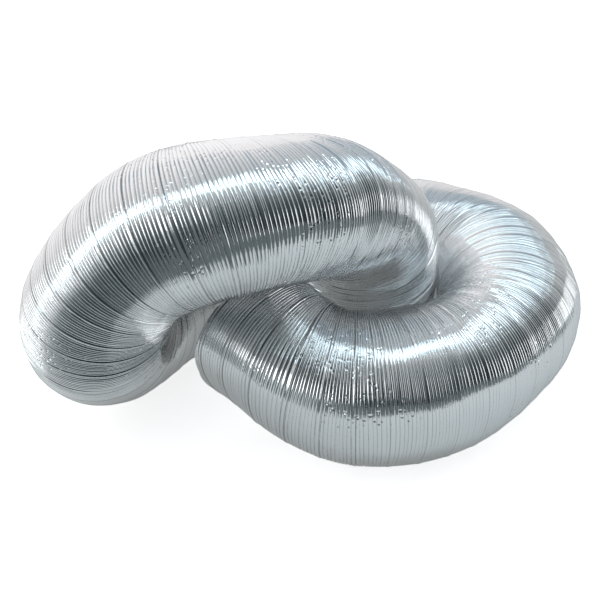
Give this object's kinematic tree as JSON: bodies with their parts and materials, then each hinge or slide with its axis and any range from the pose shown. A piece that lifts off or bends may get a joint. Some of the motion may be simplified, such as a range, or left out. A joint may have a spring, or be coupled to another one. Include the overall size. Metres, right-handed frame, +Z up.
{
  "type": "flexible ventilation duct",
  "caption": "Semi-rigid spiral-wound aluminium duct hose, bent into two interlocked loops, that carries air between a fan, hood or boiler and a vent.",
  "frame": {"origin": "on the surface that the duct lies on, under the middle of its bounding box", "axes": "+X from the left loop to the right loop, +Y from the front run to the rear run, +Z up"},
  "size_m": [0.3937, 0.3745, 0.2332],
  "materials": {
    "foil": "bright crimped foil, lightly dented"
  },
  "bodies": {
    "lower_loops": {"left_loop_side": "foil", "left_loop_bottom": "foil", "return_run_front": "foil", "return_run_middle": "foil", "return_run_back": "foil", "rear_run_left": "foil", "rear_run_right": "foil", "right_loop_rear": "foil", "right_loop_side": "foil", "right_loop_front": "foil", "front_run_right": "foil", "front_run_left": "foil", "lower_rise": "foil", "lower_mouth": "foil"},
    "upper_run": {"upper_mouth": "foil", "upper_drop": "foil", "upper_shoulder": "foil", "upper_crest_right": "foil", "upper_crest_left": "foil", "upper_slope": "foil", "left_loop_top": "foil"}
  },
  "joints": [
    {"name": "upper_run_lift", "type": "hinge", "parent": "lower_loops", "child": "upper_run", "pos_m": [-0.18124, -0.12807, 0.08428], "axis": [0.6724, -0.5596, -0.4844], "range_deg": [0, 8]}
  ]
}
